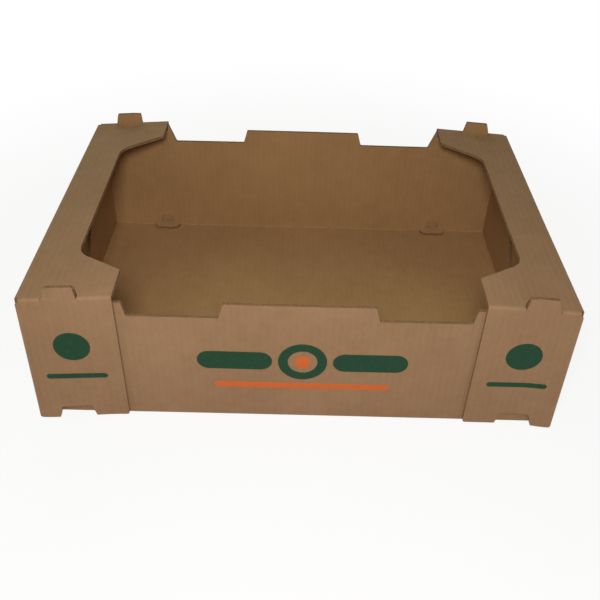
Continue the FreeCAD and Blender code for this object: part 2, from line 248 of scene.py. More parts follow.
@dataclass
class Panel:
    """One flat panel of the sheet, between folds and cut edges."""

    origin: Sequence[float]
    across: Sequence[float]
    along: Sequence[float]
    normal: Sequence[float]
    outline: list[Corner]
    holes: list[list[Corner]] = field(default_factory=list)
    flutes_along: bool = True
    relief: Relief = level
    board: Board = Board()
    fold_step: float = 0.010
    grid: float = 0.012
    fine_step: float = 0.001
    coarse_step: float = 0.008
    rim_gap: float = 0.42
    along_flutes: float = 0.12
    mitre_limit: float = 0.6
    sliver: float = 1e-9
    arc_steps: int = 6

    def __post_init__(self) -> None:
        """Turn the axes into arrays and see whether they are mirrored."""
        self.axes = np.array([self.across, self.along, self.normal], dtype=float)
        self.flip = float(np.linalg.det(self.axes)) < 0.0
        self.sides: dict[str, FoldSide] = {}

    def place(self, spots: Points, height: float | Points = 0.0,
              base: Points | None = None) -> Points:
        """Return where places of the panel are on the folded tray.

        Args:
            spots: Places across and along the panel.
            height: Height over the outer face.
            base: Places whose relief counts, where it isn't that of spots.

        Returns:
            One point for each place.
        """
        held = spots if base is None else base
        lift = height + self.relief(held[:, 0], held[:, 1])
        start = np.array(self.origin, dtype=float)
        return start + spots @ self.axes[:2] + np.outer(lift, self.axes[2])

    def on_sheet(self, spots: Points) -> Points:
        """Return places as distances across and along the flutes."""
        return spots if self.flutes_along else spots[:, ::-1]

    def rounded(self, before: Points, corner: Corner, after: Points) -> list[Points]:
        """Return the points of a corner.

        Args:
            before: Corner that comes before it.
            corner: The corner.
            after: Corner that comes after it.

        Returns:
            One point, or the points of its rounding.
        """
        spot = np.array([corner.across, corner.along])
        if corner.radius <= 0.0:
            return [spot]
        back = (before - spot) / np.linalg.norm(before - spot)
        onward = (after - spot) / np.linalg.norm(after - spot)
        half = math.acos(float(np.clip(back @ onward, -1.0, 1.0))) / 2
        middle = (back + onward) / np.linalg.norm(back + onward)
        centre = spot + middle * corner.radius / math.sin(half)
        start = spot + back * corner.radius / math.tan(half) - centre
        end = spot + onward * corner.radius / math.tan(half) - centre
        turn = math.atan2(start[0] * end[1] - start[1] * end[0], float(start @ end))
        angles = turn * np.arange(self.arc_steps + 1)[:, None] / self.arc_steps
        beside = np.array([-start[1], start[0]])
        return list(centre + np.cos(angles) * start + np.sin(angles) * beside)

    def steps(self, start: Points, end: Points, folded: bool) -> int:
        """Return into how many parts a side is divided.

        Args:
            start: Its first point.
            end: Its last point.
            folded: Whether it is a fold.

        Returns:
            The number of parts.
        """
        length = float(np.linalg.norm(end - start))
        if folded:
            return max(1, math.ceil(length / self.fold_step - 1e-6))
        run = abs(float(self.on_sheet((end - start)[None])[0, 0])) / max(length, 1e-9)
        step = self.fine_step if run > self.along_flutes else self.coarse_step
        return max(1, round(length / step))

    def trace(self, corners: list[Corner], hole: bool) -> tuple[Points, list[str]]:
        """Return an outline as points, with the board on the left of each side.

        Args:
            corners: Corners of the outline.
            hole: Whether it goes round a hole.

        Returns:
            The points, and for each the fold that its next side is, or no name.
        """
        spots = np.array([(c.across, c.along) for c in corners])
        ahead = np.roll(spots, -1, axis=0)
        area = float(np.sum(spots[:, 0] * ahead[:, 1] - spots[:, 1] * ahead[:, 0]))
        if (area > 0.0) == hole:
            names = [corners[i - 1].fold for i in range(len(corners))]
            corners = [Corner(c.across, c.along, c.radius, n)
                       for c, n in zip(corners[::-1], names[::-1])]
            spots = spots[::-1]
        count = len(corners)
        arcs = [self.rounded(spots[i - 1], corners[i], spots[(i + 1) % count])
                for i in range(count)]
        points: list[Points] = []
        folds: list[str] = []
        for i, corner in enumerate(corners):
            points.extend(arcs[i][:-1])
            folds.extend([""] * (len(arcs[i]) - 1))
            start, end = arcs[i][-1], arcs[(i + 1) % count][0]
            parts = self.steps(start, end, bool(corner.fold))
            for k in range(parts):
                points.append(start + (end - start) * k / parts)
                folds.append(corner.fold)
        return np.array(points), folds

    def inside(self, spots: Points, loops: list[Points]) -> Points:
        """Return which places lie on the panel.

        Args:
            spots: The places.
            loops: The outlines, holes among them.

        Returns:
            True for each place on the panel.
        """
        held = np.zeros(len(spots), dtype=bool)
        for loop in loops:
            for start, end in zip(loop, np.roll(loop, -1, axis=0)):
                spans = (start[1] > spots[:, 1]) != (end[1] > spots[:, 1])
                rise = end[1] - start[1] if end[1] != start[1] else 1.0
                cross = start[0] + (spots[:, 1] - start[1]) * (end[0] - start[0]) / rise
                held ^= spans & (spots[:, 0] < cross)
        return held

    def skin_points(self, loops: list[Points]) -> Points:
        """Return the places inside the panel at which its skins have vertices.

        Args:
            loops: The outlines.

        Returns:
            The places.
        """
        rim = np.concatenate(loops)
        low, high = rim.min(axis=0), rim.max(axis=0)
        counts = np.maximum(2, np.ceil((high - low) / self.grid).astype(int))
        lines = [np.linspace(low[i], high[i], counts[i] + 1)[1:-1] for i in range(2)]
        spots = np.stack(np.meshgrid(*lines), axis=-1).reshape(-1, 2)
        spots = spots[self.inside(spots, loops)]
        gaps = np.array([np.min(np.linalg.norm(rim - s, axis=1)) for s in spots])
        return spots[gaps > self.grid * self.rim_gap] if len(spots) else spots

    def add_to(self, sheet: SheetMesh) -> None:
        """Add the panel's liners and cut edges to the sheet."""
        traced = [self.trace(self.outline, False)]
        traced += [self.trace(hole, True) for hole in self.holes]
        loops = [points for points, _folds in traced]
        sides, start = [], 0
        for loop in loops:
            count = len(loop)
            sides += [(start + i, start + (i + 1) % count) for i in range(count)]
            start += count
        spots = np.concatenate([*loops, self.skin_points(loops)])
        flat_spots = [Vector(s) for s in spots * 1000.0]
        verts, _edges, faces, *_rest = delaunay_2d_cdt(flat_spots, sides, [], 0, 1e-4)
        spots = np.array([tuple(v) for v in verts]) / 1000.0
        triangles = np.array([tuple(f) for f in faces if len(f) == 3])
        a, b, c = (spots[triangles[:, i]] for i in range(3))
        turn = (b - a)[:, 0] * (c - a)[:, 1] - (b - a)[:, 1] * (c - a)[:, 0]
        triangles[turn < 0] = triangles[turn < 0][:, ::-1]
        triangles = triangles[np.abs(turn) > self.sliver]
        triangles = triangles[self.inside(spots[triangles].mean(axis=1), loops)]
        faces = [tuple(t) for t in triangles]
        plain = np.zeros(len(spots))
        flat = self.on_sheet(spots)
        sheet.add(self.place(spots), flat, plain, faces, Skin.OUTER, self.flip)
        sheet.add(self.place(spots, -self.board.thickness), flat, plain, faces,
                  Skin.INNER, not self.flip)
        for points, folds in traced:
            self.add_edges(sheet, points, folds)
            self.note_folds(points, folds)

    def add_edges(self, sheet: SheetMesh, points: Points, folds: list[str]) -> None:
        """Add the cut edges of one outline.

        Args:
            sheet: The sheet that they are added to.
            points: The outline.
            folds: The fold that each side is, or no name.
        """
        count = len(points)
        side = np.roll(points, -1, axis=0) - points
        side /= np.linalg.norm(side, axis=1)[:, None]
        inward = np.stack([-side[:, 1], side[:, 0]], axis=1)
        cut = [not name for name in folds]
        columns = []
        for i in range(count):
            ways = [inward[k] for k, shown in ((i - 1, cut[i - 1]), (i, cut[i])) if shown]
            if not ways:
                columns.append(None)
                continue
            way = sum(ways) / max(np.linalg.norm(sum(ways)), 1e-9)
            way = way / max(float(way @ ways[0]), self.mitre_limit)
            if len(ways) == 1:
                profile = [(0.0, 0.0), (-self.board.thickness, 0.0)]
            else:
                profile = self.board.edge_profile(float(self.on_sheet(points[i][None])[0, 0]))
            spots = np.array([points[i] + way * depth for _height, depth in profile])
            heights = np.array([height for height, _depth in profile])
            base = np.repeat(points[i][None], len(profile), axis=0)
            columns.append((self.place(spots, heights, base), self.on_sheet(base)))
        for i in range(count):
            if cut[i]:
                self.add_edge_strip(sheet, columns[i], columns[(i + 1) % count])

    def add_edge_strip(self, sheet: SheetMesh, first: tuple[Points, Points],
                       last: tuple[Points, Points]) -> None:
        """Add one strip of a cut edge.

        Args:
            sheet: The sheet that it is added to.
            first: Points and flat places at its start.
            last: The same at its end.
        """
        a, b = len(first[0]), len(last[0])

        def number(size: int, row: int) -> int:
            """Return the vertex of a row, on a whole section or on one of two points."""
            return row if size == EDGE_ROWS else int(row >= EDGE_ROWS // 2)

        faces = []
        for row in range(EDGE_ROWS - 1):
            corners = [number(a, row), number(a, row + 1),
                       a + number(b, row + 1), a + number(b, row)]
            face = tuple(dict.fromkeys(corners))
            if len(face) > 2:
                faces.append(face)
        points = np.concatenate([first[0], last[0]])
        flat = np.concatenate([first[1], last[1]])
        sheet.add(points, flat, np.zeros(len(points)), faces, Skin.CORE, self.flip)

    def note_folds(self, points: Points, folds: list[str]) -> None:
        """Keep the stations along each fold of one outline.

        Args:
            points: The outline.
            folds: The fold that each side is, or no name.
        """
        count = len(points)
        for name in dict.fromkeys(filter(None, folds)):
            places = [i for i in range(count) if folds[i] == name]
            first = next(i for i in places if folds[i - 1] != name)
            order = [(first + k) % count for k in range(len(places) + 1)]
            spots = points[order]
            run = (spots[-1] - spots[0]) / np.linalg.norm(spots[-1] - spots[0])
            away = np.array([run[1], -run[0]])
            self.sides[name] = FoldSide(
                self.place(spots), self.place(spots, -self.board.thickness),
                away @ self.axes[:2], self.axes[2], self.on_sheet(spots),
                self.on_sheet(away[None])[0])


def meeting(start: Points, way: Points, other: Points, other_way: Points) -> Points:
    """Return the point halfway between two lines where they are nearest.

    Args:
        start: A point of the first line.
        way: Its direction.
        other: A point of the second line.
        other_way: Its direction.

    Returns:
        The point.
    """
    system = np.stack([way, -other_way], axis=1)
    run, *_rest = np.linalg.lstsq(system, other - start, rcond=None)
    return (start + way * run[0] + other + other_way * run[1]) / 2


@dataclass
class Fold:
    """A rounded fold between two panels."""

    first: FoldSide
    last: FoldSide
    rows: int = 6
    outer_pull: float = 2.0
    inner_pull: float = 1.0

    def add_to(self, sheet: SheetMesh) -> None:
        """Add the fold's two faces and its ends to the sheet."""
        first, last = self.first, self.last
        if np.linalg.norm(first.outer[0] - last.outer[0]) > np.linalg.norm(
                first.outer[0] - last.outer[-1]):
            last = last.turned()
        shares = np.linspace(0.0, 1.0, self.rows + 1)
        layers = []
        for start, end, pull in ((first.outer, last.outer, self.outer_pull),
                                 (first.inner, last.inner, self.inner_pull)):
            turn = np.array([meeting(p, first.leaving, q, last.leaving)
                             for p, q in zip(start, end)])
            layer = []
            for t in shares:
                weights = np.array([(1 - t) ** 2, 2 * t * (1 - t) * pull, t * t])
                a, b, c = weights / weights.sum()
                layer.append(a * start + b * turn + c * end)
            layers.append(np.stack(layer))
        outer, inner = layers
        reach = float(np.linalg.norm(last.outer[0] - first.outer[0]))
        flat = np.stack([first.flat + first.flat_leaving * reach * t for t in shares])
        # How far into the bend each row lies. The liners lighten by it, partly as crease wear and
        # partly as a painted highlight where the bend would catch light.
        fold_wear_and_highlight = np.sin(np.pi * shares)[:, None] * np.ones(len(first.outer))[None]
        size = len(first.outer)
        faces = [(j * size + i, j * size + i + 1, (j + 1) * size + i + 1, (j + 1) * size + i)
                 for j in range(self.rows) for i in range(size - 1)]
        facing = np.cross(outer[0, 1] - outer[0, 0], outer[1, 0] - outer[0, 0])
        over = float(facing @ first.normal) < 0.0
        for layer, skin, flip in ((outer, Skin.OUTER, over), (inner, Skin.INNER, not over)):
            sheet.add(layer.reshape(-1, 3), flat.reshape(-1, 2), fold_wear_and_highlight.ravel(), faces, skin, flip)
        for end, flip in ((0, over), (size - 1, not over)):
            ring = np.concatenate([outer[:, end], inner[:, end]])
            spots = np.concatenate([flat[:, end], flat[:, end]])
            below = self.rows + 1
            quads = [(j, j + 1, below + j + 1, below + j) for j in range(self.rows)]
            sheet.add(ring, spots, np.zeros(len(ring)), quads, Skin.CORE, flip)


@dataclass(frozen=True)
class Side:
    """One corner of the tray: which end and which long wall it belongs to."""

    end: int
    wall: int

    @property
    def name(self) -> str:
        """The side in words."""
        return f"{'left' if self.end < 0 else 'right'}_{'front' if self.wall < 0 else 'back'}"


@dataclass(frozen=True)
class Habit:
    """How one corner flap hangs: how far its foot stands out, and where its tab is."""

    flare: float
    flare_width: float
    tab_place: float
    tab_lean: float
    tab_top: float


@dataclass
class TrayBox:
    """The folded tray, with the sizes of its panels in metres."""

    length: float = 0.600
    width: float = 0.400
    board: Board = Board()
    setback: float = 0.0046
    clearance: float = 0.0003
    end_height: float = 0.174
    ear_rise: float = 0.0076
    ear_reach: float = 0.1035
    ear_depth: float = 0.0465
    ear_radius: float = 0.004
    shelf_reach: float = 0.050
    brace_depth: float = 0.080
    brace_radius: float = 0.024
    wall_end: float = 0.170
    wall_low: float = 0.152
    wall_crown: float = 0.1715
    crown_foot: float = 0.0865
    crown_top: float = 0.0812
    sag_foot: float = 0.1855
    sag_top: float = 0.1890
    edge_radius: float = 0.0018
    wall_clip: float = 0.006
    fold_clip: float = 0.001
    end_clip: float = 0.012
    riser_foot: float = 0.1972
    riser_top: float = 0.1961
    riser_height: float = 0.1795
    flap_lift: float = 0.0015
    flap_radius: float = 0.003
    flap_rim: float = 0.001
    flap_hinge: float = 0.160
    flap_nib: tuple[tuple[float, float], ...] = (
        (0.0044, 0.0008), (0.0024, 0.0004), (0.0012, -0.0014))
    tab_foot: float = 0.0190
    tab_height: float = 0.0145
    tab_radius: float = 0.0011
    tab_step: float = 0.0005
    slot_play: float = 0.0003
    slot_depth: float = 0.0110
    slot_taper: float = 0.0027
    notch_place: float = 0.045
    notch_foot: float = 0.021
    notch_top: float = 0.0165
    notch_height: float = 0.018
    hand_half: float = 0.045
    hand_low: float = 0.097
    hand_high: float = 0.131
    hand_radius: float = 0.016
    glue_low: float = 0.0052
    glue_high: float = 0.168
    glue_foot: float = 0.010
    glue_head: float = 0.107
    glue_radius: float = 0.006
    tongue_place: float = 0.0905
    tongue_root: float = 0.0165
    tongue_head: float = 0.0205
    tongue_tip: float = 0.0145
    tongue_shoulder: float = 0.004
    tongue_reach: float = 0.013
    tongue_head_radius: float = 0.002
    tongue_tip_radius: float = 0.003
    tongue_sunk: float = 0.003
    tongue_level: float = 0.0052
    tongue_fall: float = 0.10
    window_half: float = 0.0095
    window_low: float = 0.008
    window_high: float = 0.020
    window_radius: float = 0.005
    wall_bulge: float = 0.0012
    bulge_reach: float = 0.19
    end_bulge: float = 0.0012
    press_climb: float = 0.09
    press_reach: float = 0.185
    press_fade: float = 0.15
    sway: float = 0.00045
    sway_seed: int = 7
    sway_waves: float = 7.0
    floor_end: float = 0.2950
    floor_side: float = 0.1908
    seam_foot: float = 0.0062
    habits: dict[str, Habit] = field(default_factory=lambda: {
        "left_front": Habit(0.0080, 0.1035, 0.0478, 0.0018, 0.01465),
        "right_front": Habit(0.0056, 0.0480, 0.0446, 0.0012, 0.01505),
        "left_back": Habit(0.0045, 0.0900, 0.0472, 0.0008, 0.01640),
        "right_back": Habit(0.0060, 0.0900, 0.0460, 0.0005, 0.01475)})

    def __post_init__(self) -> None:
        """Work out the planes that several panels share."""
        self.wall_face = self.width / 2 - self.board.thickness - self.clearance
        self.slope = math.atan2(self.ear_rise, self.ear_reach)
        self.sheet = SheetMesh()
        self.panels: dict[str, Panel] = {}

    def add(self, name: str, panel: Panel) -> None:
        """Add a panel under a name."""
        panel.add_to(self.sheet)
        self.panels[name] = panel

    def join(self, first: str, last: str, fold: str, other: str = "") -> None:
        """Join two panels at a fold.

        Args:
            first: Name of one panel.
            last: Name of the other.
            fold: Name of the fold on the first, and on the last where other is empty.
            other: Name of the fold on the last.
        """
        Fold(self.panels[first].sides[fold],
             self.panels[last].sides[other or fold]).add_to(self.sheet)

    def add_floor(self) -> None:
        """Add the floor, with its corners cut back between the folds."""
        end, wall = self.length / 2 - self.setback, self.wall_face - self.setback
        far, near = self.floor_end, self.floor_side
        self.add("floor", Panel(
            (0, 0, 0), (1, 0, 0), (0, 1, 0), (0, 0, -1), [
                Corner(-far, -wall, fold="wall_front"), Corner(far, -wall),
                Corner(end, -near, fold="end_right"), Corner(end, near),
                Corner(far, wall, fold="wall_back"), Corner(-far, wall),
                Corner(-end, near, fold="end_left"), Corner(-end, -near)]))

    def add_long_wall(self, wall: int) -> None:
        """Add the front (-1) or back (1) long wall."""
        far = self.floor_end
        fold = self.length / 2 - self.board.thickness - self.clearance - self.setback
        top, low, crown = self.wall_end, self.wall_low, self.wall_crown
        r = self.edge_radius
        half = [
            Corner(far, self.setback), Corner(fold, self.seam_foot, fold="glue_right"),
            Corner(fold, top - self.wall_clip), Corner(fold - self.fold_clip, top)]
        if wall < 0:
            half += [Corner(self.sag_top, top, r)]
        else:
            half += [Corner(self.riser_foot, top), Corner(self.riser_top, self.riser_height)]
        half += [Corner(self.sag_foot, low, r), Corner(self.crown_foot, low, r),
                 Corner(self.crown_top, crown, r)]
        other = [Corner(-c.across, c.along, c.radius) for c in reversed(half)]
        other[-3] = Corner(-fold, top - self.wall_clip, fold="glue_left")
        other[-1] = Corner(-far, self.setback, fold="floor")
        place = self.length / 2 - self.tongue_place
        windows = [opening(x, self.window_half, self.window_low, self.window_high, 0.0,
                           self.window_radius) for x in (-place, place)]

        def bulge(across: Points, along: Points) -> Points:
            """Return how far the wall bulges outwards."""
            spread = smooth(1.0 - np.abs(across) / self.bulge_reach)
            return self.wall_bulge * spread * smooth(along / self.wall_crown)

        self.add("wall_" + ("front" if wall < 0 else "back"), Panel(
            (0, wall * self.wall_face, 0), (1, 0, 0), (0, 0, 1), (0, wall, 0),
            half + other, windows, relief=bulge))

    def end_relief(self, beside: Points, up: Points) -> Points:
        """Return how far an end wall is pressed in, at places along Y and Z."""
        share = smooth(up / self.press_climb) * smooth((self.end_height - up) / self.press_climb)
        beside = smooth((self.press_reach - np.abs(beside)) / self.press_fade)
        return -self.end_bulge * share * beside

    def add_end_wall(self, end: int) -> None:
        """Add the left (-1) or right (1) end wall with its hand hole."""
        near, edge = self.floor_side, self.width / 2 - self.setback
        head = self.end_height - self.setback
        corners = [
            Corner(-near, self.setback, fold="floor"), Corner(near, self.setback),
            Corner(edge, self.end_clip), Corner(edge, head, fold="shelf"),
            Corner(-edge, head), Corner(-edge, self.end_clip)]
        r = self.hand_radius
        hole = opening(0.0, self.hand_half, self.hand_low, self.hand_high, r, r)
        self.add("end_" + ("left" if end < 0 else "right"), Panel(
            (end * self.length / 2, 0, 0), (0, 1, 0), (0, 0, 1), (end, 0, 0),
            corners, [hole], flutes_along=False, relief=self.end_relief))

    def add_shelf(self, end: int) -> None:
        """Add the shelf that climbs inwards from the left (-1) or right (1) end wall."""
        stretch = 1.0 / math.cos(self.slope)
        edge = self.width / 2 - self.setback
        inside = self.width / 2
        slot = inside - self.board.thickness - self.slot_depth

        def half(wall: int, first: str, last: str) -> list[Corner]:
            """Return the corners on one side, with the names of its two folds."""
            habit = self.habits[Side(end, wall).name]
            place, top_place = habit.tab_place, habit.tab_place + habit.tab_lean
            foot = self.tab_foot + self.slot_play
            top = habit.tab_top + self.slot_play - self.slot_taper
            spots = [
                (self.setback / stretch, edge, 0.0, first), (place - foot, edge, 0.0, ""),
                (top_place - top, slot, 0.0, ""), (top_place + top, slot, 0.0, ""),
                (place + foot, edge, 0.0, last), (self.ear_reach, edge, 0.0, ""),
                (self.ear_reach, inside - self.ear_depth, self.ear_radius, ""),
                (self.shelf_reach, inside - self.brace_depth, self.brace_radius, "")]
            return [Corner(reach * stretch, wall * beside, radius, fold)
                    for reach, beside, radius, fold in spots]

        front = half(-1, "front_a", "front_b")
        back = half(1, "", "")[::-1]
        names = {2: "back_b", 6: "back_a", 7: "end"}
        back = [Corner(c.across, c.along, c.radius, names.get(i, "")) for i, c in enumerate(back)]
        c, s = math.cos(self.slope), math.sin(self.slope)
        self.add("shelf_" + ("left" if end < 0 else "right"), Panel(
            (end * self.length / 2, 0, self.end_height), (-end * c, 0, s), (0, 1, 0),
            (end * s, 0, c), front + back))

    def fold_height(self, reach: float) -> float:
        """Return the height of a shelf at a distance in from its end wall."""
        return self.end_height + self.ear_rise * reach / self.ear_reach

    def add_corner_flap(self, side: Side) -> None:
        """Add a corner flap with its stacking tab and the notch in its foot."""
        lift, r, notch = self.flap_lift, self.flap_radius, self.notch_place
        habit = self.habits[side.name]
        place, top_place = habit.tab_place, habit.tab_place + habit.tab_lean
        play, step, rim = self.slot_play, self.tab_step, self.flap_rim
        head = self.fold_height(self.setback) - self.setback

        def below(reach: float, fold: str = "") -> Corner:
            """Return a corner under the shelf's fold."""
            return Corner(reach, self.fold_height(reach) - self.setback, fold=fold)

        def above(reach: float, climb: float, radius: float = 0.0) -> Corner:
            """Return a corner over the shelf."""
            return Corner(reach, self.fold_height(reach) + climb, radius)

        corners = [
            Corner(rim, lift, r), Corner(notch - self.notch_foot, lift),
            Corner(notch - self.notch_top, self.notch_height),
            Corner(notch + self.notch_top, self.notch_height),
            Corner(notch + self.notch_foot, lift), Corner(self.ear_reach, lift, r),
            below(self.ear_reach, "b"), below(place + self.tab_foot + play),
            above(place + self.tab_foot - step, 0.0),
            above(top_place + habit.tab_top, self.tab_height, self.tab_radius),
            above(top_place - habit.tab_top, self.tab_height, self.tab_radius),
            above(place - self.tab_foot + step, 0.0),
            below(place - self.tab_foot - play, "a"), below(self.setback),
            *(Corner(reach, head + climb) for reach, climb in self.flap_nib),
            Corner(rim, self.flap_hinge)]

        def opened(across: Points, along: Points) -> Points:
            """Return how far the flap stands out."""
            out = smooth((habit.flare_width - across) / habit.flare_width)
            hinge = self.flap_hinge
            return habit.flare * out * np.clip((hinge - along) / hinge, 0.0, 1.0)

        self.add("flap_" + side.name, Panel(
            (side.end * self.length / 2, side.wall * self.width / 2, 0), (-side.end, 0, 0),
            (0, 0, 1), (0, side.wall, 0), corners, relief=opened))

    def add_glue_flap(self, side: Side) -> None:
        """Add the flap of a long wall that is glued inside the end wall."""
        face = self.wall_face
        start, head = self.setback, self.wall_end - self.wall_clip
        shoulder = start + self.board.thickness
        corners = [
            Corner(start, self.seam_foot), Corner(shoulder, self.glue_low),
            Corner(face - self.glue_foot, self.glue_low, self.glue_radius),
            Corner(face - self.glue_head, self.glue_high, self.glue_radius),
            Corner(shoulder, self.glue_high), Corner(start, head, fold="wall")]

        def pressed(across: Points, along: Points) -> Points:
            """Return how far the flap follows the end wall inwards."""
            return self.end_relief(face - across, along)

        x = side.end * (self.length / 2 - self.board.thickness - self.clearance)
        self.add("glue_" + side.name, Panel(
            (x, side.wall * face, 0), (0, -side.wall, 0), (0, 0, 1), (side.end, 0, 0),
            corners, relief=pressed))

    def add_tongue(self, side: Side) -> None:
        """Add the locking tongue that lies on the floor at the foot of a long wall."""
        x = side.end * (self.length / 2 - self.tongue_place)
        y = side.wall * (self.wall_face - self.board.thickness)
        root, fall = self.tongue_root, self.tongue_fall
        half = [Corner(root, -self.tongue_sunk), Corner(root, 0.0),
                Corner(self.tongue_head, self.tongue_shoulder, self.tongue_head_radius),
                Corner(self.tongue_tip, self.tongue_reach, self.tongue_tip_radius)]
        corners = half + [Corner(-c.across, c.along, c.radius) for c in reversed(half)]
        along = Vector((0, -side.wall, -fall)).normalized()
        normal = Vector((0, side.wall * fall, -1)).normalized()
        self.add("tongue_" + side.name, Panel(
            (x, y, self.tongue_level), (1, 0, 0), tuple(along), tuple(normal), corners))

    def settle(self, piece: bpy.types.Object) -> None:
        """Give the whole sheet a slight unevenness, inside the box of the solid model."""
        noise.seed_set(self.sway_seed)
        low, high = Vector(CAD_LOW), Vector(CAD_HIGH)
        for vertex in piece.data.vertices:
            spot = vertex.co + noise.noise_vector(vertex.co * self.sway_waves) * self.sway
            vertex.co = [min(max(spot[i], low[i]), high[i]) for i in range(3)]
        piece.data.update()

    def build(self) -> bpy.types.Object:
        """Build every panel and fold.

        Returns:
            The folded sheet as one object.
        """
        self.add_floor()
        for wall, name in ((-1, "front"), (1, "back")):
            self.add_long_wall(wall)
            self.join("floor", "wall_" + name, "wall_" + name, "floor")
        for end, name in ((-1, "left"), (1, "right")):
            self.add_end_wall(end)
            self.join("floor", "end_" + name, "end_" + name, "floor")
            self.add_shelf(end)
            self.join("end_" + name, "shelf_" + name, "shelf", "end")
            for wall, row in ((-1, "front"), (1, "back")):
                side = Side(end, wall)
                self.add_corner_flap(side)
                for part in "ab":
                    self.join("shelf_" + name, "flap_" + side.name, f"{row}_{part}", part)
                self.add_glue_flap(side)
                self.join("wall_" + row, "glue_" + side.name, "glue_" + name, "wall")
                self.add_tongue(side)
        piece = self.sheet.build("folded_sheet")
        self.settle(piece)
        LOG.info("folded sheet: %d panels, %d faces", len(self.panels), len(piece.data.polygons))
        return piece


def operator(operation: str, first: bool = True) -> Callable[[Value, Value | float], Value]:
    """Return a method that makes a Math node of an operation.

    Args:
        operation: The node's operation.
        first: Whether the value is the first operand.

    Returns:
        The method.
    """
    def method(value: Value, other: Value | float) -> Value:
        """Return the result of the operation."""
        return value.math(operation, other, first=first)
    return method


class Value:
    """A number socket that takes part in Python expressions."""

    def __init__(self, tree: ShaderTree, socket: bpy.types.NodeSocket) -> None:
        """Wrap a socket of a tree."""
        self.tree = tree
        self.socket = socket

    def math(self, operation: str, *others: Value | float, first: bool = True) -> Value:
        """Return the result of a Math node.

        Args:
            operation: The node's operation.
            others: The other operands.
            first: Whether this value is the first operand, rather than the second.

        Returns:
            The node's result.
        """
        operands = [self, *others] if first else [*others, self]
        node = self.tree.node("ShaderNodeMath", {"operation": operation},
                              dict(enumerate(operands)))
        return Value(self.tree, node.outputs[0])

    __add__ = __radd__ = operator("ADD")
    __sub__ = operator("SUBTRACT")
    __rsub__ = operator("SUBTRACT", first=False)
    __mul__ = operator("MULTIPLY")
    at_least = operator("MAXIMUM")
    at_most = operator("MINIMUM")

    def __abs__(self) -> Value:
        """Drop the sign."""
        return self.math("ABSOLUTE")

    def eased(self, low: float, high: float) -> Value:
        """Return 0 below low and 1 above high, with a smooth step between them."""
        node = self.tree.node(
            "ShaderNodeMapRange", {"interpolation_type": "SMOOTHSTEP", "clamp": True},
            {"Value": self, "From Min": low, "From Max": high, "To Min": 0.0, "To Max": 1.0})
        return Value(self.tree, node.outputs["Result"])


Colour = tuple[float, float, float]
Plug = object


class ShaderTree:
    """The nodes of one material or world."""

    MIX_SHARE, MIX_FIRST, MIX_LAST, MIX_RESULT = 0, 6, 7, 2

    def __init__(self, owner: bpy.types.Material | bpy.types.World, output: str) -> None:
        """Start with an output and nothing else.

        Args:
            owner: The material or world that gets the nodes.
            output: Type of the output node.
        """
        self.owner = owner
        owner.use_nodes = True
        self.tree = owner.node_tree
        self.tree.nodes.clear()
        self.output = self.node(output, {}, {})

    @classmethod
    def of_material(cls, name: str) -> ShaderTree:
        """Return the nodes of a new material."""
        return cls(bpy.data.materials.new(name), "ShaderNodeOutputMaterial")

    def node(self, kind: str, settings: dict[str, Plug], inputs: dict[str | int, Plug]
             ) -> bpy.types.Node:
        """Add a node.

        Args:
            kind: Its type.
            settings: Properties, which are set first.
            inputs: Values or links of its sockets, by name or number.

        Returns:
            The node.
        """
        made = self.tree.nodes.new(kind)
        for key, value in settings.items():
            setattr(made, key, value)
        for key, value in inputs.items():
            socket = made.inputs[key]
            if isinstance(value, Value):
                value = value.socket
            if isinstance(value, bpy.types.NodeSocket):
                self.tree.links.new(value, socket)
            elif isinstance(value, tuple) and socket.type == "RGBA":
                socket.default_value = (*value, 1.0)
            else:
                socket.default_value = value
        return made

    def value(self, kind: str, settings: dict[str, Plug], inputs: dict[str | int, Plug],
              output: str | int = 0) -> Value:
        """Add a node and return one of its results."""
        return Value(self, self.node(kind, settings, inputs).outputs[output])

    def noise(self, place: bpy.types.NodeSocket, scale: float, detail: float = 3.0,
              roughness: float = 0.55) -> Value:
        """Return noise from 0 to 1.

        Args:
            place: Where it is read.
            scale: Waves in a metre.
            detail: Number of finer layers.
            roughness: Weight of the finer layers.

        Returns:
            The noise.
        """
        return self.value("ShaderNodeTexNoise", {"noise_dimensions": "3D"}, {
            "Vector": place, "Scale": scale, "Detail": detail, "Roughness": roughness}, "Fac")

    def stretched(self, place: bpy.types.NodeSocket, scale: Colour) -> bpy.types.NodeSocket:
        """Return places multiplied by a scale along each axis."""
        return self.node("ShaderNodeVectorMath", {"operation": "MULTIPLY"},
                         {0: place, 1: scale}).outputs[0]

    def mixed(self, share: Value | float, first: Plug, last: Plug) -> bpy.types.NodeSocket:
        """Mix two colours.

        Args:
            share: Part of the last one.
            first: Colour shown at 0.
            last: Colour shown at 1.

        Returns:
            The mixed colour.
        """
        return self.node("ShaderNodeMix", {"data_type": "RGBA"}, {
            self.MIX_SHARE: share, self.MIX_FIRST: first, self.MIX_LAST: last,
        }).outputs[self.MIX_RESULT]

    def finish(self, shader: bpy.types.Node) -> bpy.types.Material | bpy.types.World:
        """Connect a shader to the output and return what the nodes belong to."""
        self.tree.links.new(shader.outputs[0], self.output.inputs["Surface"])
        return self.owner

    def paper(self, colour: Plug, rough: Value | float, gloss: float, relief: Value
              ) -> bpy.types.Material:
        """Finish as paper.

        Args:
            colour: Its colour.
            rough: Its roughness.
            gloss: Strength of its reflection.
            relief: Height of its surface in metres.

        Returns:
            The material.
        """
        bump = self.node("ShaderNodeBump", {}, {
            "Strength": 1.0, "Distance": 1.0, "Height": relief})
        return self.finish(self.node("ShaderNodeBsdfPrincipled", {}, {
            "Base Color": colour, "Roughness": rough, "Specular IOR Level": gloss,
            "Normal": bump.outputs[0]}))


def srgb(red: int, green: int, blue: int) -> Colour:
    """Return a colour written with 0 to 255 as linear light."""
    def channel(value: int) -> float:
        """Return one channel as linear light."""
        share = value / 255
        return share / 12.92 if share <= 0.04045 else ((share + 0.055) / 1.055) ** 2.4
    return channel(red), channel(green), channel(blue)


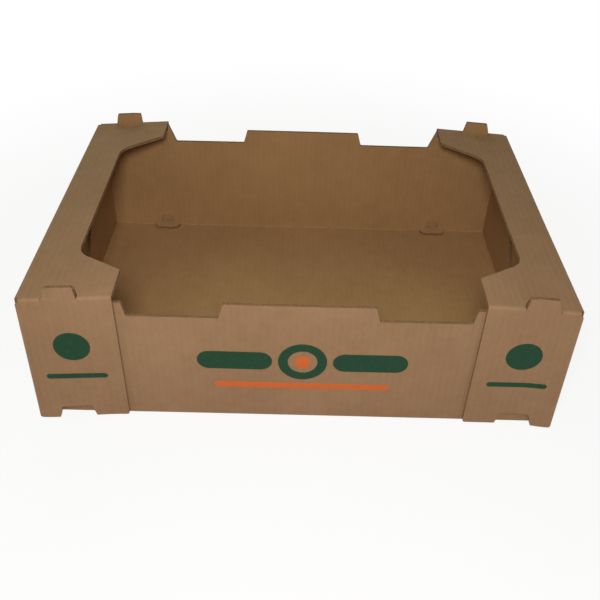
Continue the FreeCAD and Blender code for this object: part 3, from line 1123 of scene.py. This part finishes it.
class Motif(Enum):
    """The simple shapes of the print."""

    DISC = "disc"
    RING = "ring"
    BAR = "bar"


@dataclass(frozen=True)
class Mark:
    """One shape of the print, on the X and Z of the front."""

    motif: Motif
    x: float
    z: float
    half_width: float
    half_height: float = 0.0


@dataclass(frozen=True)
class Ink:
    """One colour of the print and its shapes."""

    colour: Colour
    marks: tuple[Mark, ...]

    def mask(self, tree: ShaderTree, x: Value, z: Value, ragged: Value) -> Value:
        """Return where the ink lies.

        Args:
            tree: The material's nodes.
            x: Place along X.
            z: Place along Z.
            ragged: Unevenness of the shapes' outlines.

        Returns:
            1 on the ink and 0 beside it.
        """
        nearest: Value | None = None
        for mark in self.marks:
            across, up = abs(x - mark.x), abs(z - mark.z)
            if mark.motif is Motif.BAR:
                end = min(mark.half_width, mark.half_height)
                wide = (across - (mark.half_width - end)).at_least(0.0)
                high = (up - (mark.half_height - end)).at_least(0.0)
                gap = (wide * wide + high * high).math("SQRT") - end
            else:
                gap = (across * across + up * up).math("SQRT") - mark.half_width
                if mark.motif is Motif.RING:
                    gap = abs(gap) - mark.half_height
            nearest = gap if nearest is None else nearest.at_most(gap)
        return 1.0 - (nearest + ragged).eased(-0.0002, 0.0003)


def flap_marks(x: float) -> tuple[Mark, Mark]:
    """Return the print of the corner flap whose middle is at x."""
    return Mark(Motif.DISC, x, 0.110, 0.0200), Mark(Motif.BAR, x, 0.066, 0.034, 0.0036)


GREEN = Ink(srgb(2, 56, 30), (
    Mark(Motif.BAR, -0.071, 0.090, 0.042, 0.0135), Mark(Motif.RING, 0.005, 0.090, 0.0220, 0.0055),
    Mark(Motif.BAR, 0.081, 0.090, 0.042, 0.0135), *flap_marks(-0.248), *flap_marks(0.248)))
ORANGE = Ink(srgb(196, 92, 34), (
    Mark(Motif.DISC, 0.005, 0.090, 0.0090), Mark(Motif.BAR, 0.005, 0.052, 0.100, 0.0042)))


@dataclass(frozen=True)
class KraftLiner:
    """Brown kraft liner: mottled paper over faint flutes, with faint stripes of painted shade along
    the flutes, and lighter at the folds, partly from crease wear and partly from a painted
    highlight.
    """

    name: str
    colour: Colour
    pale: Colour
    dark: Colour
    inks: tuple[Ink, ...] = ()
    roughness: float = 0.82
    ink_smoothing: float = 0.22
    gloss: float = 0.28
    flute_depth: float = 0.00006
    flute_painted_shade: float = 0.025
    pitch: float = Board.pitch
    cloud_waves: float = 9.0
    mottle_waves: float = 70.0
    fibre_waves: Colour = (900.0, 220.0, 1.0)
    fleck_waves: float = 420.0
    print_front: float = -0.1932

    def material(self) -> bpy.types.Material:
        """Return the material of this liner."""
        tree = ShaderTree.of_material(self.name)
        place = tree.node("ShaderNodeTexCoord", {}, {}).outputs["Object"]
        chart = tree.node("ShaderNodeUVMap", {"uv_map": "flat_sheet"}, {}).outputs["UV"]
        across = tree.value("ShaderNodeSeparateXYZ", {}, {0: chart}, 0)
        flutes = (across * (2 * math.pi / self.pitch)).math("SINE")
        crease_wear_and_highlight = tree.value("ShaderNodeAttribute", {"attribute_name": "crease_wear_and_highlight"}, {}, "Fac")
        clouds = tree.noise(place, self.cloud_waves, 4.0)
        mottle = tree.noise(place, self.mottle_waves, 4.0, 0.65)
        fibres = tree.noise(tree.stretched(chart, self.fibre_waves), 1.0, 2.0)
        tone = (clouds - 0.5) * 0.55 + (mottle - 0.5) * 0.45 + (fibres - 0.5) * 0.30
        # The flutes add faint stripes of painted shade to the colour, on top of their bump.
        colour = tree.mixed((tone + flutes * self.flute_painted_shade + 0.5).at_least(0.0).at_most(1.0),
                            self.dark, self.pale)
        flecks = tree.noise(place, self.fleck_waves, 1.0).eased(0.70, 0.78)
        colour = tree.mixed(flecks * 0.35, colour, self.dark)
        # Lighten the liner along the folds: partly crease wear, partly a painted highlight on the
        # rounded bend.
        colour = tree.mixed(crease_wear_and_highlight * (0.25 + mottle * 0.5), colour, self.pale)
        rough: Value | float = self.roughness
        if self.inks:
            x, y, z = (tree.value("ShaderNodeSeparateXYZ", {}, {0: place}, i) for i in range(3))
            front = 1.0 - y.eased(self.print_front - 0.0006, self.print_front)
            ragged = (tree.noise(place, 600.0, 2.0) - 0.5) * 0.0007
            patchy = 1.0 - tree.noise(place, 260.0, 3.0, 0.7).eased(0.52, 0.80) * 0.15
            covered: Value | None = None
            for ink in self.inks:
                cover = ink.mask(tree, x, z, ragged) * front * patchy
                colour = tree.mixed(cover, colour, ink.colour)
                covered = cover if covered is None else covered.at_least(cover)
            rough = self.roughness - covered * self.ink_smoothing
        grain = mottle * 0.00004 + fibres * 0.00005 + flutes * self.flute_depth
        return tree.paper(colour, rough, self.gloss, grain)


@dataclass(frozen=True)
class CutEdge:
    """The raw cut edge of the board, where the fluted medium shows."""

    name: str = "fluted_edge"
    colour: Colour = srgb(140, 108, 78)
    dark: Colour = srgb(112, 84, 58)
    roughness: float = 0.92
    gloss: float = 0.2
    fray_depth: float = 0.0003

    def material(self) -> bpy.types.Material:
        """Return the material of the cut edges."""
        tree = ShaderTree.of_material(self.name)
        place = tree.node("ShaderNodeTexCoord", {}, {}).outputs["Object"]
        fray = tree.noise(place, 380.0, 4.0, 0.7)
        colour = tree.mixed(fray.eased(0.30, 0.70), self.dark, self.colour)
        return tree.paper(colour, self.roughness, self.gloss, fray * self.fray_depth)


OUTER_LINER = KraftLiner("kraft_outer", srgb(142, 109, 79), srgb(160, 126, 94),
                         srgb(124, 92, 63), (GREEN, ORANGE))
INNER_LINER = KraftLiner("kraft_inner", srgb(158, 121, 79), srgb(174, 136, 92),
                         srgb(138, 103, 64))


@dataclass(frozen=True)
class Lamp:
    """A square soft light that looks at the tray, with its size in metres and power in watts."""

    name: str
    place: tuple[float, float, float]
    size: float
    power: float
    colour: Colour


@dataclass
class Studio:
    """Floor, light and camera."""

    camera_place: tuple[float, float, float] = (-0.00601, -0.79549, 0.68875)
    camera_turn: tuple[float, float, float] = (0.92579, -0.02398, 0.01036)
    lens: float = 45.10
    shift_y: float = -0.0733
    floor_half: float = 6.0
    floor_level: float = -0.0004
    floor_colour: Colour = (0.86, 0.86, 0.86)
    floor_white: float = 0.86
    fade_near: float = 0.42
    fade_far: float = 0.95
    sky_strength: float = 0.24
    lamp_aim: tuple[float, float, float] = (0.0, 0.0, 0.08)
    lamps: tuple[Lamp, ...] = (
        Lamp("front_light", (-0.04, -0.82, 0.83), 0.20, 8.2, (1.0, 0.97, 0.94)),
        Lamp("back_light", (-0.5, 1.6, 1.3), 1.4, 11.0, (0.76, 1.0, 0.60)))

    def add_floor(self) -> None:
        """Add a plain pale floor that keeps the tray's shadow."""
        mesh = bpy.data.meshes.new("studio_floor")
        s = self.floor_half
        z = self.floor_level
        mesh.from_pydata([(-s, -s, z), (s, -s, z), (s, s, z), (-s, s, z)], [], [(0, 1, 2, 3)])
        floor = put("studio_floor", mesh)
        tree = ShaderTree.of_material("pale_floor")
        place = tree.node("ShaderNodeTexCoord", {}, {}).outputs["Object"]
        away = tree.value("ShaderNodeVectorMath", {"operation": "LENGTH"}, {0: place}, "Value")
        path = tree.node("ShaderNodeLightPath", {}, {})
        seen = Value(tree, path.outputs["Is Camera Ray"]).at_least(
            Value(tree, path.outputs["Is Glossy Ray"]))
        paper = tree.node("ShaderNodeBsdfDiffuse", {}, {"Color": self.floor_colour})
        glow = tree.node("ShaderNodeEmission", {}, {"Color": (1.0, 1.0, 1.0), "Strength": 1.0})
        fade = away.eased(self.fade_near, self.fade_far)
        share = seen * (self.floor_white + fade * (1.0 - self.floor_white))
        surface = tree.node("ShaderNodeMixShader", {}, {
            0: share, 1: paper.outputs[0], 2: glow.outputs[0]})
        mesh.materials.append(tree.finish(surface))

    def add_lamp(self, lamp: Lamp) -> None:
        """Add one lamp and aim it."""
        light = bpy.data.lights.new(lamp.name, "AREA")
        light.energy, light.size, light.color = lamp.power, lamp.size, lamp.colour
        holder = put(lamp.name, light)
        holder.location = lamp.place
        aim = Vector(self.lamp_aim) - Vector(lamp.place)
        holder.rotation_euler = aim.to_track_quat("-Z", "Y").to_euler()

    def add_world(self) -> None:
        """Light the scene evenly from all round, with white behind the tray."""
        world = bpy.data.worlds.new("studio")
        bpy.context.scene.world = world
        tree = ShaderTree(world, "ShaderNodeOutputWorld")
        path = tree.node("ShaderNodeLightPath", {}, {})
        sky, white = (
            tree.node("ShaderNodeBackground", {}, {"Color": (1.0, 1.0, 1.0), "Strength": strength})
            for strength in (self.sky_strength, 1.0))
        tree.finish(tree.node("ShaderNodeMixShader", {}, {
            0: path.outputs["Is Camera Ray"], 1: sky.outputs[0], 2: white.outputs[0]}))

    def add_camera(self) -> None:
        """Set the camera where the photograph was taken from."""
        camera = bpy.data.cameras.new("camera")
        camera.sensor_width, camera.lens, camera.shift_y = 36.0, self.lens, self.shift_y
        camera.clip_start, camera.clip_end = 0.02, 50.0
        holder = put("camera", camera)
        holder.location = self.camera_place
        holder.rotation_euler = Euler(self.camera_turn)
        bpy.context.scene.camera = holder

    def build(self) -> None:
        """Set up the whole studio."""
        self.add_floor()
        self.add_world()
        for lamp in self.lamps:
            self.add_lamp(lamp)
        self.add_camera()
        bpy.context.scene.view_settings.view_transform = "Standard"
        LOG.info("studio is set up")


def main() -> None:
    """Build the tray and the studio."""
    logging.basicConfig(level=logging.INFO, format="%(name)s: %(message)s")
    sheet = TrayBox().build()
    for finish in (OUTER_LINER, INNER_LINER, CutEdge()):
        sheet.data.materials.append(finish.material())
    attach(sheet, "root")
    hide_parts("folded_tray")
    Studio().build()
    bpy.context.view_layer.update()


if __name__ == "__main__":
    main()
